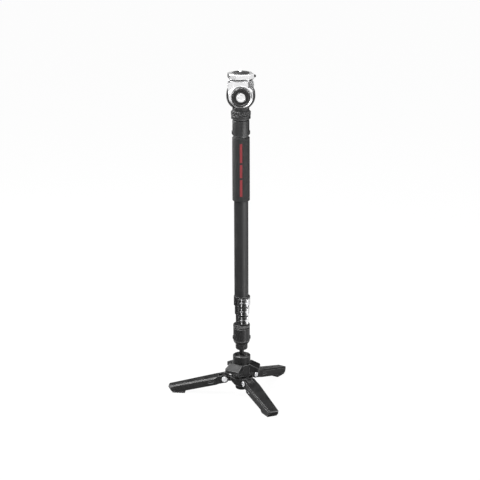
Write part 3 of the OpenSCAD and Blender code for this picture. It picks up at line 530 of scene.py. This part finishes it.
def add_foot(side, azimuth):
    """Rubber foot under a leg: level sole with cross grooves, sides that follow the leg's taper."""
    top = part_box("foot_" + side)[1].z
    along = Vector((math.cos(math.radians(azimuth)), math.sin(math.radians(azimuth)), 0.0))
    across = Vector((-along.y, along.x, 0.0))
    points = [vertex.co for vertex in nodes["foot_" + side].data.vertices]
    reach = [point.dot(along) for point in points]
    inner, outer = min(reach), max(reach)
    end_zone = 3.0 * MM
    widths_in = [abs(p.dot(across)) for p in points if p.dot(along) < inner + end_zone]
    widths_out = [abs(p.dot(across)) for p in points if p.dot(along) > outer - end_zone]
    half_in, half_out = max(widths_in), max(widths_out)

    corner_rise = 0.4 * MM
    grooves, groove_half, groove_depth = 5, 0.9 * MM, 0.6 * MM
    bottom_half = 0.6 * groove_half
    profile = [(inner + 0.3 * MM, top), (inner + 0.9 * MM, corner_rise), (inner + 1.3 * MM, 0.0)]
    for middle in spread(inner + 3.4 * MM, outer - 3.6 * MM, grooves - 1):
        profile += [
            (middle - groove_half, 0.0),
            (middle - bottom_half, groove_depth),
            (middle + bottom_half, groove_depth),
            (middle + groove_half, 0.0),
        ]
    profile += [(outer - 1.6 * MM, 0.0), (outer - 1.1 * MM, corner_rise), (outer - 0.2 * MM, top)]

    edge_share, edge_lift, sole_height = 0.97, 0.35 * MM, 1.5 * MM
    bm = bmesh.new()
    rows = []
    for share in (-1.0, -edge_share, edge_share, 1.0):
        row = []
        for r, z in profile:
            half = half_in + (half_out - half_in) * (r - inner) / (outer - inner)
            lift = edge_lift if abs(share) == 1.0 and z < sole_height else 0.0
            row.append(bm.verts.new(along * r + across * (half * share) + UP * (z + lift)))
        rows.append(row)
    skin(bm, rows)
    obj = new_object("foot_rubber_" + side, bm, RUBBER, "leg_" + side, smooth=False)
    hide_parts("foot_" + side)


for leg_side, leg_azimuth in LEG_AZIMUTH.items():
    add_foot(leg_side, leg_azimuth)


# Camera screw, plate pad and quick-release button


def add_camera_screw():
    """Quarter-inch screw: rolled thread above the pad, captive neck and head below it."""
    low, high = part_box("camera_screw")
    pad_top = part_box("plate_pad")[1].z
    tip_r, neck_r, thread_r = 0.02 * MM, 2.475 * MM, 3.175 * MM
    head_r, head_top, chamfer = high.x, low.z + 3.0 * MM, 0.4 * MM
    pitch, depth = 1.27 * MM, 0.55 * MM
    crest_share, flank_share = 0.15, 0.7
    lead_height, lead_depth = 0.9 * MM, 0.85 * MM
    sides, rows = 40, 60
    start, top = pad_top + 0.3 * MM, high.z
    profile = [
        (tip_r, low.z),
        (head_r - chamfer, low.z),
        (head_r, low.z + chamfer),
        (head_r, head_top - chamfer),
        (head_r - chamfer, head_top),
        (neck_r, head_top),
        (neck_r, pad_top - 0.2 * MM),
    ]
    first_row = len(profile)
    profile += [(thread_r, z) for z in spread(start, top, rows)]
    profile.append((tip_r, top))

    def thread(ring, angle, z):
        if not first_row <= ring <= first_row + rows:
            return 0.0
        phase = ((z - start) / pitch - angle / TURN) % 1.0
        groove = (abs(2.0 * phase - 1.0) - crest_share) / flank_share
        lead = 1.0 - (top - z) / lead_height
        return min(-depth * min(max(groove, 0.0), 1.0), -lead_depth * max(lead, 0.0))

    bm = revolve(profile, sides, loop=False, shift=thread)
    obj = new_object("camera_screw_thread", bm, STEEL, "camera_screw")
    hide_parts("camera_screw")


def add_plate_pad():
    """Rubber pad on the plate, moulded with fine concentric ridges."""
    low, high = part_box("plate_pad")
    r_in, r_out, margin = 4.375 * MM, high.x, 0.4 * MM
    crest, valley, rim = high.z, high.z - 0.25 * MM, high.z - 0.6 * MM
    ridges, sides = 9, 72
    step = (r_out - r_in - 2.0 * margin) / ridges
    ridge = ((0.0, valley), (0.3, crest), (0.6, crest), (0.85, valley))
    profile = [(r_in, low.z), (r_in, valley)]
    for i in range(ridges):
        start = r_in + margin + i * step
        profile += [(start + share * step, z) for share, z in ridge]
    profile += [(r_out - margin, valley), (r_out, rim), (r_out, low.z)]
    obj = new_object("plate_pad_rubber", revolve(profile, sides), RUBBER, "tilt", smooth=False)
    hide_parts("plate_pad")


def add_button_cap():
    """Crowned cap moulded on the outer end of the quick-release button."""
    press = next(joint for joint in frame["joints"] if joint["name"] == "qr_button_press")
    out = -Vector(press["axis"])
    across = Vector((-out.y, out.x, 0.0))
    points = [vertex.co for vertex in nodes["qr_button"].data.vertices]
    reach = max(point.dot(out) for point in points)
    face = [point for point in points if point.dot(out) > reach - 0.05 * MM]
    left, right = min(p.dot(across) for p in face), max(p.dot(across) for p in face)
    low, high = min(p.z for p in face), max(p.z for p in face)
    middle = across * (0.5 * (left + right)) + UP * (0.5 * (low + high))
    corner_r, corner_points = 1.2 * MM, 6
    corner_x, corner_z = 0.5 * (right - left) - corner_r, 0.5 * (high - low) - corner_r
    crown = (  # how far each ring stands out of the button's face, and how far it is drawn in
        (-0.3 * MM, 0.0),
        (1.4 * MM, 0.0),
        (2.1 * MM, 0.25 * MM),
        (2.5 * MM, 0.7 * MM),
        (2.7 * MM, 1.15 * MM),
    )
    corners = ((1.0, 1.0), (-1.0, 1.0), (-1.0, -1.0), (1.0, -1.0))
    bm = bmesh.new()
    rings = []
    for height, inset in crown:
        centre = middle + out * (reach + height)
        ring = []
        for quarter, (side_x, side_z) in enumerate(corners):
            for turned in spread(quarter, quarter + 1.0, corner_points - 1):
                a = 0.25 * TURN * turned
                x = side_x * corner_x + (corner_r - inset) * math.cos(a)
                z = side_z * corner_z + (corner_r - inset) * math.sin(a)
                ring.append(bm.verts.new(centre + across * x + UP * z))
        rings.append(ring)
    skin(bm, rings)
    obj = new_object("qr_button_cap", bm, PLASTIC, "qr_button")


add_camera_screw()
add_plate_pad()
add_button_cap()


# Flip locks and ferrule


def add_slit_liner(number):
    """Light liner in a clamp's slit, in two lengths beside the draw bolt's window."""
    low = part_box("clamp_%d" % number)[0]
    front = low.y + 1.0 * MM
    half = 0.72 * MM
    half_flat = 0.4 * half
    shoulder, back = front + 0.18 * MM, front + 0.8 * MM
    window, window_half = low.z + 8.4 * MM, 2.4 * MM
    bottom, top = low.z + 0.5 * MM, low.z + 16.0 * MM
    steps = 8
    outline = (
        (-half, back), (-half, shoulder), (-half_flat, front),
        (half_flat, front), (half, shoulder), (half, back),
    )
    bm = bmesh.new()
    for z0, z1 in ((bottom, window - window_half), (window + window_half, top)):
        heights = spread(z0, z1, steps)
        skin(bm, [[bm.verts.new((x, y, z)) for x, y in outline] for z in heights])
    obj = new_object("slit_liner_%d" % number, bm, NATURAL, "section_%d" % number, smooth=False)


def add_ferrule_knurl():
    """Diamond knurl rolled round the ferrule on the smallest tube."""
    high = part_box("tube_ferrule")[1]
    bottom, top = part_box("lower_collar")[1].z + 1.6 * MM, high.z - 2.6 * MM
    r_root, r_band = high.x - 0.3 * MM, high.x + 0.02 * MM
    teeth, tooth_height, winds = 90, 0.16 * MM, 2.6
    rows, sides = 16, 360
    profile = [(r_root, bottom)]
    profile += [(r_band, z) for z in spread(bottom, top, rows)]
    profile.append((r_root, top))

    def diamonds(ring, angle, z):
        if not 2 <= ring <= rows:
            return 0.0
        wind = winds * TURN * (z - bottom) / (top - bottom)
        one = math.sin(teeth * angle + wind)
        two = math.sin(teeth * angle - wind)
        return tooth_height * max(0.0, 0.5 + 0.5 * min(one, two) + 0.25 * (one + two))

    bm = revolve(profile, sides, shift=diamonds)
    obj = new_object("ferrule_knurl", bm, ANODISED, "section_4")


for clamp_number in (1, 2, 3):
    add_slit_liner(clamp_number)
add_ferrule_knurl()
